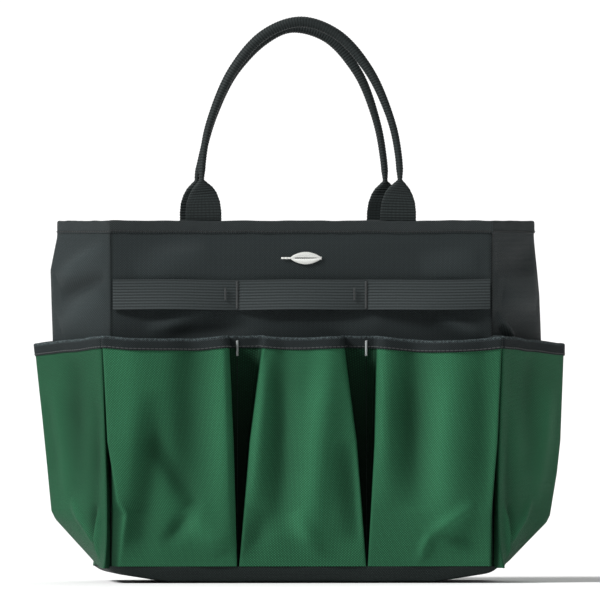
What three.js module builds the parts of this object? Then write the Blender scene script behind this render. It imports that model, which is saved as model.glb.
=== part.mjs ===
// Garden tool bag: an open fabric tote with eight outside pockets, a strap of tool loops on its
// front, and two carrying handles that fold over the rim.
// Millimetres, +Z up. The front faces -Y, and the origin is on the ground under the middle.
import * as THREE from 'three';

// ---- cloth, tape and webbing ------------------------------------------------------------
const GAP = 0.3;                // clearance between pieces that touch
const PANEL = 2;                // body panel: coated cloth with its lining
const POCKET_CLOTH = 1.6;
const TAPE = 1.2;               // one leg of a folded binding tape, seam included
const TAPE_DROP = 10.5;         // how far a binding reaches down each face
const WEBBING = 1.8;

// ---- body -------------------------------------------------------------------------------
const RIM_TOP = 301.5;
const HALF_FRONT = 160;         // middle of the bag to a corner seam
const HALF_DEPTH_BASE = 86;
const HALF_DEPTH_RIM = 72;
// Height and reach of the fold that runs down the middle of each side panel.
const SIDE_FOLD = [[0, 163], [13.4, 165], [200, 205], [261, 206], [288, 200.5], [RIM_TOP, 200]];
const BASE_TOP = 13.4;
const BASE_LIP = 5;             // how far the base stands out past the panels
const BASE_FLOOR = 2;
const BOARD = 2.5;
const CORNER_TAPE_REACH = 8;    // each side of a corner seam, inside the bag

// ---- pockets ----------------------------------------------------------------------------
const POCKET_BOTTOM = BASE_TOP + GAP;
const POCKET_TOP = 205;
const POCKET_CLOTH_TOP = POCKET_TOP - TAPE - GAP;
const BULGE_TOP = 22;           // how far a front pocket's face stands off its panel
const BULGE_BOTTOM = 3.5;
const DIVIDER_X = 54;           // seam between the centre pocket and its neighbours
// Seam and face edge of each front pocket: at the panel, at the top and at the bottom.
const CENTRE_POCKET = { seam: [-50, 50], top: [-34, 34], bottom: [-50, 50] };
const OUTER_POCKET = { seam: [58, 155], top: [62, 167], bottom: [57, 156] };
const SIDE_SEAM_X = 160.5;
const SIDE_FACE_X = 168;        // front edge of a side pocket's face
const SIDE_BULGE_TOP = 12;
const SIDE_TOP_DIP = 7;         // the side pocket's top is lower at its fold
const SIDE_POCKET_FOLD = [[POCKET_BOTTOM, 172], [17, 176], [57, 208], [118, 216], [198, 221]];
const POCKET_ROWS = [0, 0.02, 0.1, 0.23, 0.4, 0.6, 0.8, 0.94, 1];

// ---- strap of tool loops ----------------------------------------------------------------
const STRAP_LOW = 228;
const STRAP_HIGH = 253;
const STRAP_BOW = 9;            // how far each loop stands off the panel
const STRAP_STEPS = 8;
const STRAP_SEAM = 3;           // flat stretch each side of a stitched line

// ---- handles ----------------------------------------------------------------------------
const TAB_WIDTH = 30;
const TAB_TOP = 337;
const TAB_HINGE_GAP = 0.8;
const AXIS_HEIGHT = RIM_TOP + 0.5;
const ANCHOR_LOW = 246;
const ANCHOR_HIGH = RIM_TOP - 1;
const GRIP_DEEP = 5.5;          // half the grip's size front to back
const GRIP_WIDE = 3.1;          // half the grip's size across
const GRIP_WALL = 1.3;
const GRIP_STEPS = 26;
// Each handle: middle of its tabs, then its grip's middle line, as two legs of [across, height]
// from a tab upwards, and the top of the arch between them.
const FRONT_LEG = [[83, TAB_TOP + GAP], [81.5, 359], [76, 385], [58, 428], [31, 459]];
const FRONT_HANDLE = { tabX: 81.5, right: FRONT_LEG, left: FRONT_LEG, top: 469.9 };
const BACK_HANDLE = {
  tabX: 79,
  right: [[79.5, TAB_TOP + 3 * GAP], [76.5, 352], [67.5, 386], [49.5, 428], [24, 456]],
  left: [[79.5, TAB_TOP + 2 * GAP], [78, 356], [72.5, 385], [55.5, 428], [29, 457]],
  top: 466,
};

// ---- colours ----------------------------------------------------------------------------
const FINISH = {
  charcoal: { color: 0x3a3e40, roughness: 0.75, metalness: 0 },
  green: { color: 0x2c6449, roughness: 0.7, metalness: 0 },
  tape: { color: 0x2a2c30, roughness: 0.9, metalness: 0 },
  webbing: { color: 0x30353a, roughness: 0.85, metalness: 0 },
  board: { color: 0x8a8072, roughness: 0.9, metalness: 0 },
  core: { color: 0xb8b4a8, roughness: 0.9, metalness: 0 },
  thread: { color: 0x969b9b, roughness: 0.6, metalness: 0 },
};

const bag = new THREE.Group();

function addPiece(group, name, geometry, finish) {
  const piece = new THREE.Mesh(geometry, new THREE.MeshStandardMaterial(FINISH[finish]));
  piece.name = name;
  group.add(piece);
  return piece;
}

// A group turned half round, so that a front piece becomes its back twin.
function halfTurn() {
  const group = new THREE.Group();
  group.rotation.z = Math.PI;
  bag.add(group);
  return group;
}

// ---- building closed bodies ---------------------------------------------------------------
function signedVolume(points, faces) {
  let volume = 0;
  for (const [a, b, c] of faces) {
    volume += points[a].dot(points[b].clone().cross(points[c])) / 6;
  }
  return volume;
}

function closedBody(points, faces) {
  const outward = signedVolume(points, faces) > 0;
  const geometry = new THREE.BufferGeometry().setFromPoints(points);
  geometry.setIndex(faces.flatMap(([a, b, c]) => (outward ? [a, b, c] : [a, c, b])));
  return geometry;
}

// A sheet with thickness, from matching grids of points for its two faces. A looped sheet's
// last column joins its first.
function sheetBody(outer, inner, looped = false) {
  const rows = outer.length;
  const columns = outer[0].length;
  const faces = [];
  const at = (layer, row, column) => (layer * rows + row) * columns + (column % columns);
  const quad = (a, b, c, d) => faces.push([a, b, c], [a, c, d]);
  const spans = looped ? columns : columns - 1;
  for (let j = 0; j < spans; j += 1) {
    for (let i = 0; i + 1 < rows; i += 1) {
      quad(at(0, i, j), at(0, i, j + 1), at(0, i + 1, j + 1), at(0, i + 1, j));
      quad(at(1, i, j), at(1, i + 1, j), at(1, i + 1, j + 1), at(1, i, j + 1));
    }
    quad(at(0, 0, j), at(1, 0, j), at(1, 0, j + 1), at(0, 0, j + 1));
    quad(at(0, rows - 1, j), at(0, rows - 1, j + 1), at(1, rows - 1, j + 1), at(1, rows - 1, j));
  }
  for (let i = 0; !looped && i + 1 < rows; i += 1) {
    quad(at(0, i, 0), at(0, i + 1, 0), at(1, i + 1, 0), at(1, i, 0));
    quad(at(0, i, spans), at(1, i, spans), at(1, i + 1, spans), at(0, i + 1, spans));
  }
  return closedBody([...outer.flat(), ...inner.flat()], faces);
}

// A body through a stack of convex rings, closed flat at its first and last ring.
function stackBody(rings) {
  const count = rings[0].length;
  const faces = [];
  for (let i = 0; i + 1 < rings.length; i += 1) {
    for (let j = 0; j < count; j += 1) {
      const next = (j + 1) % count;
      const low = i * count;
      const high = low + count;
      faces.push([low + j, low + next, high + next], [low + j, high + next, high + j]);
    }
  }
  const last = (rings.length - 1) * count;
  for (let j = 1; j + 1 < count; j += 1) {
    faces.push([0, j + 1, j], [last, last + j, last + j + 1]);
  }
  return closedBody(rings.flat(), faces);
}

// ---- outlines -----------------------------------------------------------------------------
// Value at a height, from a short list of [height, value] pairs.
function valueAt(table, height) {
  const above = table.findIndex(([z]) => z >= height);
  const upper = table[above < 0 ? table.length - 1 : Math.max(above, 1)];
  const lower = table[table.indexOf(upper) - 1];
  return THREE.MathUtils.mapLinear(height, lower[0], upper[0], lower[1], upper[1]);
}

const halfDepth = (z) => THREE.MathUtils.mapLinear(z, 0, RIM_TOP, HALF_DEPTH_BASE, HALF_DEPTH_RIM);

function leftNormal(from, to) {
  return new THREE.Vector2(from.y - to.y, to.x - from.x).normalize();
}

function mitre(before, here, after, inset) {
  const first = leftNormal(before, here);
  const second = leftNormal(here, after);
  const scale = inset / (1 + first.dot(second));
  return new THREE.Vector3(here.x + (first.x + second.x) * scale,
    here.y + (first.y + second.y) * scale, here.z);
}

// The bag's plan at height z, moved inwards by inset: flat front and back, folded sides.
function outline(z, inset) {
  const depth = halfDepth(z);
  const reach = valueAt(SIDE_FOLD, z);
  const corners = [
    [-HALF_FRONT, -depth], [HALF_FRONT, -depth], [reach, 0],
    [HALF_FRONT, depth], [-HALF_FRONT, depth], [-reach, 0],
  ].map(([x, y]) => new THREE.Vector3(x, y, z));
  const count = corners.length;
  return corners.map((corner, i) => mitre(corners[(i + count - 1) % count], corner,
    corners[(i + 1) % count], inset));
}

// A path that starts and ends at a panel, moved inwards; its ends stay at the panel.
function offsetPath(path, inset) {
  const endPoint = (end, other, sign) => {
    const normal = leftNormal(end, other).multiplyScalar(sign * inset);
    const slide = -normal.y / (other.y - end.y);
    return new THREE.Vector3(end.x + normal.x + (other.x - end.x) * slide, end.y, end.z);
  };
  const last = path.length - 1;
  return path.map((point, i) => {
    if (i === 0) return endPoint(point, path[1], 1);
    if (i === last) return endPoint(point, path[last - 1], -1);
    return mitre(path[i - 1], point, path[i + 1], inset);
  });
}

// ---- body panels --------------------------------------------------------------------------
// Heights of the rows that the walls are built from: close together, since the sides twist.
const WALL_ROWS = [BASE_TOP + GAP, 45, 76, 107, 138, 169, 200, 230, 261, 275, 288,
  RIM_TOP - TAPE_DROP - GAP];

// The stretch of wall between two neighbouring corners of the outline, or past a fold.
function wallRow(z, inset, first, count) {
  const ring = outline(z, inset);
  const row = [];
  for (let i = 0; i <= count; i += 1) row.push(ring[(first + i) % ring.length].clone());
  const pullIn = (end, other) => end.add(other.clone().sub(end).setLength(GAP / 2));
  pullIn(row[0], row[1].clone());
  pullIn(row[count], row[count - 1].clone());
  return row;
}

function panelBody(first, count) {
  const heights = [...WALL_ROWS, RIM_TOP - TAPE - GAP];
  return sheetBody(heights.map((z) => wallRow(z, 0, first, count)),
    heights.map((z) => wallRow(z, PANEL, first, count)));
}

function addPanels() {
  addPiece(bag, 'front_panel', panelBody(0, 1), 'charcoal');
  addPiece(bag, 'right_side_panel', panelBody(1, 2), 'charcoal');
  addPiece(bag, 'back_panel', panelBody(3, 1), 'charcoal');
  addPiece(bag, 'left_side_panel', panelBody(4, 2), 'charcoal');
}

// ---- base ---------------------------------------------------------------------------------
function addBase() {
  const tray = [[8, 0], [0, 3], [-BASE_LIP, BASE_TOP], [PANEL, BASE_TOP], [6, BASE_FLOOR]];
  addPiece(bag, 'base_panel', stackBody(tray.map(([inset, z]) => outline(z, inset))), 'charcoal');
  const plate = (low, thick, inset) => stackBody([outline(low, inset), outline(low, inset)
    .map((point) => point.clone().setZ(low + thick))]);
  const boardLow = BASE_FLOOR + GAP;
  addPiece(bag, 'base_board', plate(boardLow, BOARD, 8), 'board');
  addPiece(bag, 'base_lining', plate(boardLow + BOARD + GAP, 1, 6), 'charcoal');
}

// ---- binding tapes ------------------------------------------------------------------------
// Faces of a tape folded over an edge: [inset from the cloth's outer face, drop below the top].
function tapeFold(cloth) {
  const far = cloth + GAP + TAPE;
  return {
    outer: [[-GAP - TAPE, TAPE_DROP], [-GAP - TAPE, 0], [far, 0], [far, TAPE_DROP]],
    inner: [[-GAP, TAPE_DROP], [-GAP, TAPE], [cloth + GAP, TAPE], [cloth + GAP, TAPE_DROP]],
  };
}

function addRimBinding() {
  const fold = tapeFold(PANEL);
  const rows = (side) => side.map(([inset, drop]) => outline(RIM_TOP - drop, inset));
  addPiece(bag, 'rim_binding', sheetBody(rows(fold.outer), rows(fold.inner), true), 'tape');
}

function pocketBinding(path) {
  const fold = tapeFold(POCKET_CLOTH);
  const shareAt = (drop) => 1 + (TAPE + GAP - drop) / (POCKET_CLOTH_TOP - POCKET_BOTTOM);
  const rows = (side) => side.map(([inset, drop]) => offsetPath(path(shareAt(drop)), inset));
  return sheetBody(rows(fold.outer), rows(fold.inner));
}

// Tape over the raw edges of a corner seam, inside the bag.
function addCornerTape(name, corner, frontStep) {
  const row = (z, inset) => {
    const ring = outline(z, inset);
    const middle = ring[corner];
    const toward = (neighbour) => middle.clone()
      .add(neighbour.clone().sub(middle).setLength(CORNER_TAPE_REACH));
    const before = ring[(corner + frontStep + ring.length) % ring.length];
    const after = ring[(corner - frontStep + ring.length) % ring.length];
    return [toward(before), middle, toward(after)];
  };
  const outside = PANEL + 2 * GAP;
  const body = sheetBody(WALL_ROWS.map((z) => row(z, outside)),
    WALL_ROWS.map((z) => row(z, outside + TAPE)));
  addPiece(bag, name, body, 'tape');
}

function addCornerTapes() {
  addCornerTape('corner_tape_front_left', 0, 1);
  addCornerTape('corner_tape_front_right', 1, 1);
  addCornerTape('corner_tape_back_right', 3, 1);
  addCornerTape('corner_tape_back_left', 4, 1);
}

// ---- pockets ------------------------------------------------------------------------------
// Middle path of a front pocket, from seam to seam, at a share of its height.
function facePocketPath({ seam, top, bottom }) {
  return (share) => {
    const lerp = THREE.MathUtils.lerp;
    const z = lerp(POCKET_BOTTOM, POCKET_CLOTH_TOP, share);
    const panel = -halfDepth(z) - GAP;
    const face = panel - lerp(BULGE_BOTTOM, BULGE_TOP, 1 - (1 - share) ** 2);
    return [
      new THREE.Vector3(seam[0], panel, z),
      new THREE.Vector3(lerp(bottom[0], top[0], share), face, z),
      new THREE.Vector3(lerp(bottom[1], top[1], share), face, z),
      new THREE.Vector3(seam[1], panel, z),
    ];
  };
}

function sidePocketPath(share) {
  const lerp = THREE.MathUtils.lerp;
  const z = lerp(POCKET_BOTTOM, POCKET_CLOTH_TOP, share);
  const foldZ = lerp(POCKET_BOTTOM, POCKET_CLOTH_TOP - SIDE_TOP_DIP, share);
  const panel = halfDepth(z) + GAP;
  const face = panel + lerp(BULGE_BOTTOM, SIDE_BULGE_TOP, share);
  const faceX = lerp(SIDE_SEAM_X + 1, SIDE_FACE_X, share);
  return [
    new THREE.Vector3(SIDE_SEAM_X, -panel, z),
    new THREE.Vector3(faceX, -face, z),
    new THREE.Vector3(valueAt(SIDE_POCKET_FOLD, foldZ), 0, foldZ),
    new THREE.Vector3(faceX, face, z),
    new THREE.Vector3(SIDE_SEAM_X, panel, z),
  ];
}

function pocketBody(path) {
  return sheetBody(POCKET_ROWS.map((share) => offsetPath(path(share), 0)),
    POCKET_ROWS.map((share) => offsetPath(path(share), POCKET_CLOTH)));
}

function addPocket(group, name, path) {
  addPiece(group, name, pocketBody(path), 'green');
  addPiece(group, `${name}_binding`, pocketBinding(path), 'tape');
}

function addPockets() {
  const back = halfTurn();
  const mirrored = ({ seam, top, bottom }) => {
    const flip = ([a, b]) => [-b, -a];
    return { seam: flip(seam), top: flip(top), bottom: flip(bottom) };
  };
  const right = facePocketPath(OUTER_POCKET);
  const left = facePocketPath(mirrored(OUTER_POCKET));
  const centre = facePocketPath(CENTRE_POCKET);
  addPocket(bag, 'front_pocket_left', left);
  addPocket(bag, 'front_pocket_centre', centre);
  addPocket(bag, 'front_pocket_right', right);
  // Seen from the front, the half turn swaps left and right.
  addPocket(back, 'back_pocket_right', left);
  addPocket(back, 'back_pocket_centre', centre);
  addPocket(back, 'back_pocket_left', right);
  addPocket(bag, 'side_pocket_right', sidePocketPath);
  addPocket(back, 'side_pocket_left', sidePocketPath);
}

// ---- small stitched pieces ------------------------------------------------------------------
// A flat upright patch on the front panel, leaning as the panel does.
function panelPatch(x, low, high, halfWidth, standOff, thick) {
  const row = (z, off) => [-halfWidth, halfWidth]
    .map((side) => new THREE.Vector3(x + side, -halfDepth(z) - off, z));
  return sheetBody([low, high].map((z) => row(z, standOff + thick)),
    [low, high].map((z) => row(z, standOff)));
}

function addBartacks() {
  const back = halfTurn();
  const divider = (x) => panelPatch(x, 189, 202, 1.5, GAP, 0.9);
  addPiece(bag, 'front_divider_bartack_left', divider(-DIVIDER_X), 'thread');
  addPiece(bag, 'front_divider_bartack_right', divider(DIVIDER_X), 'thread');
  addPiece(back, 'back_divider_bartack_right', divider(-DIVIDER_X), 'thread');
  addPiece(back, 'back_divider_bartack_left', divider(DIVIDER_X), 'thread');
  const strapOff = WEBBING + 2 * GAP;
  const strap = (x) => panelPatch(x, STRAP_LOW + 1, STRAP_HIGH - 1, 1.2, strapOff, 0.6);
  addPiece(bag, 'strap_bartack_left', strap(-DIVIDER_X), 'webbing');
  addPiece(bag, 'strap_bartack_right', strap(DIVIDER_X), 'webbing');
}

// A plain leaf with a short stalk, embroidered above the strap.
function addLeafMotif() {
  const leaf = new THREE.Shape();
  leaf.moveTo(-17, -0.8);
  leaf.lineTo(-10, -0.8);
  leaf.quadraticCurveTo(2, -10, 17, 0);
  leaf.quadraticCurveTo(2, 10, -10, 0.8);
  leaf.lineTo(-17, 0.8);
  const geometry = new THREE.ExtrudeGeometry(leaf,
    { depth: 0.6, bevelEnabled: false, curveSegments: 8 });
  const motif = addPiece(bag, 'leaf_motif', geometry, 'thread');
  const height = 271;
  const lean = Math.atan2(HALF_DEPTH_BASE - HALF_DEPTH_RIM, RIM_TOP);
  motif.rotation.set(Math.PI / 2 - lean, 0, 0);
  motif.position.set(0, -halfDepth(height) - GAP, height);
}

// ---- strap of tool loops --------------------------------------------------------------------
function addStrap() {
  const seams = [-HALF_FRONT, -DIVIDER_X, DIVIDER_X, HALF_FRONT];
  const stations = [];
  for (let loop = 0; loop + 1 < seams.length; loop += 1) {
    for (let i = 0; i <= STRAP_STEPS; i += 1) {
      const share = i / STRAP_STEPS;
      const x = THREE.MathUtils.lerp(seams[loop] + STRAP_SEAM, seams[loop + 1] - STRAP_SEAM, share);
      const bow = STRAP_BOW * Math.abs(Math.sin(Math.PI * share)) ** 0.8;
      stations.push([x, bow]);
    }
  }
  const row = (z, thick) => stations
    .map(([x, bow]) => new THREE.Vector3(x, -halfDepth(z) - GAP - bow - thick, z));
  const heights = [STRAP_LOW, STRAP_HIGH];
  addPiece(bag, 'tool_loop_strap', sheetBody(heights.map((z) => row(z, WEBBING)),
    heights.map((z) => row(z, 0))), 'webbing');
}

// ---- handles --------------------------------------------------------------------------------
const HANDLE_INSET = PANEL + 2 * GAP + TAPE;      // webbing lies inside the rim binding

// The end of the handle's webbing, sewn to the inside of the panel.
function anchorBody(x) {
  const half = TAB_WIDTH / 2;
  const row = (z, inset) => [-half, half]
    .map((side) => new THREE.Vector3(x + side, inset - halfDepth(z), z));
  const heights = [ANCHOR_LOW, ANCHOR_HIGH];
  return sheetBody(heights.map((z) => row(z, HANDLE_INSET)),
    heights.map((z) => row(z, HANDLE_INSET + WEBBING)));
}

// The flat tab above the rim, drawn in to the width of the grip.
function tabBody() {
  const half = TAB_WIDTH / 2;
  const low = AXIS_HEIGHT + TAB_HINGE_GAP;
  const shoulder = low + 7;
  const tab = new THREE.Shape();
  tab.moveTo(-half, low);
  tab.lineTo(half, low);
  tab.lineTo(half, shoulder);
  tab.quadraticCurveTo(half - 1, TAB_TOP - 10, GRIP_WIDE + 1, TAB_TOP);
  tab.lineTo(-GRIP_WIDE - 1, TAB_TOP);
  tab.quadraticCurveTo(1 - half, TAB_TOP - 10, -half, shoulder);
  const body = new THREE.ExtrudeGeometry(tab,
    { depth: WEBBING, bevelEnabled: false, curveSegments: 5 });
  return body.rotateX(Math.PI / 2).translate(0, WEBBING, 0);
}

function gripRoute({ right, left, top }) {
  const leg = (points, side) => points.map(([x, z]) => new THREE.Vector3(side * x, 0, z));
  const arch = [...leg(right, 1), new THREE.Vector3(0, 0, top), ...leg(left, -1).reverse()];
  return new THREE.CatmullRomCurve3(arch, false, 'centripetal');
}

function ellipse(shape, deep, wide) {
  return shape.absellipse(0, 0, deep, wide, 0, 2 * Math.PI, false, 0);
}

function gripBody(grip, outside, hollow) {
  const section = ellipse(new THREE.Shape(), GRIP_DEEP - outside, GRIP_WIDE - outside);
  if (hollow) section.holes.push(ellipse(new THREE.Path(), GRIP_DEEP - hollow, GRIP_WIDE - hollow));
  return new THREE.ExtrudeGeometry(section,
    { extrudePath: gripRoute(grip), steps: GRIP_STEPS, curveSegments: 5, bevelEnabled: false });
}

function addHandle(group, name, handle, twinName) {
  const sides = { left: -handle.tabX, right: handle.tabX };
  const plane = HANDLE_INSET - HALF_DEPTH_RIM;
  for (const [side, x] of Object.entries(sides)) {
    const label = twinName ? twinName[side] : side;
    addPiece(group, `${name}_anchor_${label}`, anchorBody(x), 'webbing');
    const tab = addPiece(group, `${name}_tab_${label}`, tabBody(), 'webbing');
    tab.position.set(x, plane, 0);
  }
  const middle = plane + WEBBING / 2;
  addPiece(group, `${name}_grip`, gripBody(handle, 0, GRIP_WALL), 'webbing').position.y = middle;
  const core = gripBody(handle, GRIP_WALL + GAP, 0);
  addPiece(group, `${name}_core`, core, 'core').position.y = middle;
}

addBase();
addPanels();
addRimBinding();
addCornerTapes();
addPockets();
addBartacks();
addLeafMotif();
addStrap();
addHandle(bag, 'front_handle', FRONT_HANDLE);
addHandle(halfTurn(), 'back_handle', BACK_HANDLE, { left: 'right', right: 'left' });

export default bag;
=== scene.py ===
"""Looks of the garden tool bag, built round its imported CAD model.

Lengths are millimetres in the frame's axes until a mesh is made; MM turns them into metres.
A cloth piece is a grid of points: columns run round the bag as seen from above, anticlockwise,
and rows run upwards, so that a column step crossed with a row step points outwards.
"""
import math

import bpy
import numpy as np
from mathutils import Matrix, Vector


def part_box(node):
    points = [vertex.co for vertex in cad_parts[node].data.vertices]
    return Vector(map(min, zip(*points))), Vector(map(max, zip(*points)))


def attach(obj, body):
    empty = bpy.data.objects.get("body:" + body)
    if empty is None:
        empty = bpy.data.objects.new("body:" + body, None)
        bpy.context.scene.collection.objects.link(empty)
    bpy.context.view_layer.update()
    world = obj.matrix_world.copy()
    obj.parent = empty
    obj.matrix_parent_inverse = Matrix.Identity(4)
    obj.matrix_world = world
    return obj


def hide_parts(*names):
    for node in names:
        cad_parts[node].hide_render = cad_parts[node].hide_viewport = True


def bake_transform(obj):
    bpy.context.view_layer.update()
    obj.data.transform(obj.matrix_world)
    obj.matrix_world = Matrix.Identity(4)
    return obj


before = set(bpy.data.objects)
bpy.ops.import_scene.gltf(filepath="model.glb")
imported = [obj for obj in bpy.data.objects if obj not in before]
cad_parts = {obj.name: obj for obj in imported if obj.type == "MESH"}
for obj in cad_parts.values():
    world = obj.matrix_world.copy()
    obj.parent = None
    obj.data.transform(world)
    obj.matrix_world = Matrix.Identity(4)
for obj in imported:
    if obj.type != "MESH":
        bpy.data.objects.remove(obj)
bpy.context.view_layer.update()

MM = 0.001


# ---- sizes read from the frame ----
def box_mm(node):
    """Lowest and highest corner of a CAD node, in millimetres."""
    low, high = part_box(node)
    return np.array(low) / MM, np.array(high) / MM


PANEL_LOW = box_mm("front_panel")[0]
RIM_LOW, RIM_HIGH = box_mm("rim_binding")
BASE_HIGH = box_mm("base_panel")[1]
POCKET_LOW, POCKET_HIGH = box_mm("front_pocket_right_binding")
SIDE_POCKET_HIGH = box_mm("side_pocket_right_binding")[1]
STRAP_LOW, STRAP_HIGH = box_mm("tool_loop_strap")
TAB_LOW, TAB_HIGH = box_mm("front_handle_tab_right")
ANCHOR_FOOT = box_mm("front_handle_anchor_right")[0][2]
BOARD_LOW, BOARD_HIGH = box_mm("base_board")
LINING_LOW, LINING_HIGH = box_mm("base_lining")
LEAF_LOW, LEAF_HIGH = box_mm("leaf_motif")
DIVIDER_LOW, DIVIDER_HIGH = box_mm("front_divider_bartack_right")

RIM_TOP = RIM_HIGH[2]
BASE_TOP = BASE_HIGH[2]
HALF_FRONT = 160.0  # middle of the bag to a corner seam
POCKET_TOP = POCKET_HIGH[2]
DIVIDER_X = (DIVIDER_LOW[0] + DIVIDER_HIGH[0]) / 2
DIVIDERS = {"left": -DIVIDER_X, "right": DIVIDER_X}
CLOTH = 1.0  # coated cloth as it looks at an edge
TAPE = 0.8
TAPE_DROP = RIM_HIGH[2] - RIM_LOW[2]
TAPE_PROUD = 1.5  # how far the rim's tape stands outside the panel
HALF_DEPTH_RIM = -(RIM_LOW[1] + TAPE_PROUD)
HALF_DEPTH_BASE = -PANEL_LOW[1]
# Height and reach of the fold down the middle of each side. The cloth hangs a little
# differently on the two sides.
LEFT_FOLD = ((BASE_TOP, 165), (120, 188), (200, 204.5), (261, 206.5), (288, 201), (RIM_TOP, 200))
RIGHT_FOLD = ((BASE_TOP, 165), (120, 188), (200, 206.5), (240, 205), (288, 200.5), (RIM_TOP, 200))


def value_at(table, height):
    """Value at a height, from a short table of (height, value) pairs."""
    heights, values = zip(*table)
    return np.interp(height, heights, values)


def half_depth(z):
    share = (z - BASE_TOP) / (RIM_TOP - BASE_TOP)
    return HALF_DEPTH_BASE + (HALF_DEPTH_RIM - HALF_DEPTH_BASE) * share


# ---- cloth shapes ----
def grid_points(x, y, z):
    """One grid of points from three coordinates, each given for all rows, columns or both."""
    return np.stack(np.broadcast_arrays(x, y, z), axis=2)


def running_total(steps):
    return np.concatenate([[0.0], np.cumsum(steps)])


def distance_along(path):
    """Distance from the start of a path at each of its points."""
    return running_total(np.linalg.norm(np.diff(path, axis=0), axis=1))


def rumple(across, up, size, seed):
    """Smooth noise from -1 to 1, about one wave to each size, as a sum of tilted waves."""
    rng = np.random.default_rng(seed)
    total = 0.0
    waves = 9
    for _ in range(waves):
        angle, phase = rng.uniform(0, 2 * math.pi, 2)
        length = size * rng.uniform(0.7, 1.6)
        distance = across * math.cos(angle) + up * math.sin(angle)
        total = total + np.sin(distance * 2 * math.pi / length + phase)
    return total / (waves ** 0.5 * 1.3)


def crease(across, up, start, end, width, depth, step=0.0):
    """A soft ridge (a valley if depth is negative) on a line that fades at both ends.

    step adds a fold that stands up on the line's left and drops on its right."""
    line = np.subtract(end, start).astype(float)
    length = math.hypot(*line)
    line /= length
    along = ((across - start[0]) * line[0] + (up - start[1]) * line[1]) / length
    off = (up - start[1]) * line[0] - (across - start[0]) * line[1]
    fade = np.clip(1 - (2 * along - 1) ** 2, 0, 1) ** 0.7
    ridge = depth * np.exp(-((off / width) ** 2))
    fold = step * np.tanh(off / width) * np.exp(-((off / (4 * width)) ** 2))
    return (ridge + fold) * fade


def resample(keys, counts):
    """Columns along key points (rows, keys, xyz), with so many steps in each stretch."""
    parts = []
    for i, count in enumerate(counts):
        share = np.linspace(0, 1, count, endpoint=False)[None, :, None]
        parts.append(keys[:, i:i + 1] * (1 - share) + keys[:, i + 1:i + 2] * share)
    parts.append(keys[:, -1:])
    return np.concatenate(parts, axis=1)


def soften(points, passes, looped=False):
    """Rounds the corners along the columns; the two ends stay where they are."""
    for _ in range(passes):
        if looped:
            around = (np.roll(points, 1, axis=1) + np.roll(points, -1, axis=1)) / 2
            points = (points + around) / 2
        else:
            middle = (points[:, :-2] + 2 * points[:, 1:-1] + points[:, 2:]) / 4
            points = np.concatenate([points[:, :1], middle, points[:, -1:]], axis=1)
    return points


def grid_normals(points, looped=False):
    """Outward unit normals of a grid of points."""
    if looped:
        across = np.roll(points, -1, axis=1) - np.roll(points, 1, axis=1)
    else:
        across = np.gradient(points, axis=1)
    up = np.gradient(points, axis=0)
    normal = np.cross(across, up)
    return normal / np.maximum(np.linalg.norm(normal, axis=2, keepdims=True), 1e-9)


def push_out(points, amount, looped=False):
    return points + grid_normals(points, looped) * amount[..., None]


# ---- meshes ----
def flat_coordinates(points):
    """Each point's place on the flat cloth: the length along its row and up its column."""
    across = np.linalg.norm(np.diff(points, axis=1), axis=2)
    up = np.linalg.norm(np.diff(points, axis=0), axis=2)
    return np.stack(np.meshgrid(running_total(across.mean(axis=0)),
                                running_total(up.mean(axis=1))), axis=2)


def new_object(name, data):
    """An object in the scene that shows data."""
    shown = bpy.data.objects.new(name, data)
    bpy.context.scene.collection.objects.link(shown)
    return shown


def make_object(name, vertices, faces, uvs, material, painted_shade=None):
    """A mesh object; painted_shade is a painted shade factor on the colour: 1 on open cloth and less
    where the cloth lies deep in a fold.
    """
    mesh = bpy.data.meshes.new(name)
    mesh.from_pydata((np.asarray(vertices) * MM).tolist(), [], faces)
    layer = mesh.uv_layers.new(name="cloth")
    index = np.empty(len(mesh.loops), np.int32)
    mesh.loops.foreach_get("vertex_index", index)
    layer.data.foreach_set("uv", np.asarray(uvs, np.float32)[index].ravel())
    open_cloth = np.ones(len(vertices)) if painted_shade is None else painted_shade
    layer = mesh.attributes.new("painted_shade", "FLOAT", "POINT")
    layer.data.foreach_set("value", np.asarray(open_cloth, np.float32))
    mesh.materials.append(material)
    mesh.polygons.foreach_set("use_smooth", np.ones(len(mesh.polygons), bool))
    mesh.set_sharp_from_angle(angle=math.radians(50))
    mesh.validate()
    return new_object(name, mesh)


def grid_faces(rows, columns, looped_columns, looped_rows=False, start=0, flip=False):
    i = np.arange(rows if looped_rows else rows - 1)
    j = np.arange(columns if looped_columns else columns - 1)
    i, j = [x.ravel() for x in np.meshgrid(i, j, indexing="ij")]
    at = lambda row, column: start + (row % rows) * columns + column % columns
    quads = [at(i, j), at(i, j + 1), at(i + 1, j + 1), at(i + 1, j)]
    return np.stack(quads[::-1] if flip else quads, axis=1).tolist()


def sheet_piece(name, outer, thick, material, looped=False, painted_shade=None):
    """Cloth with thickness: the outer grid, an inner grid and the strips between their edges."""
    rows, columns = outer.shape[:2]
    inner = outer - grid_normals(outer, looped) * thick
    count = rows * columns
    faces = grid_faces(rows, columns, looped)
    faces += grid_faces(rows, columns, looped, start=count, flip=True)
    ring = list(range(columns))
    edges = [ring, [(rows - 1) * columns + j for j in ring][::-1]]
    if looped:
        edges = [edge + edge[:1] for edge in edges]
    else:
        column = [i * columns for i in range(rows)]
        edges += [column[::-1], [i + columns - 1 for i in column]]
    for edge in edges:
        faces += [[a, a + count, b + count, b] for a, b in zip(edge, edge[1:])]
    uv = flat_coordinates(outer).reshape(-1, 2)
    vertices = np.concatenate([outer.reshape(-1, 3), inner.reshape(-1, 3)])
    if painted_shade is not None:
        painted_shade = np.tile(painted_shade.ravel(), 2)
    return make_object(name, vertices, faces, np.concatenate([uv, uv]), material, painted_shade)


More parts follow.
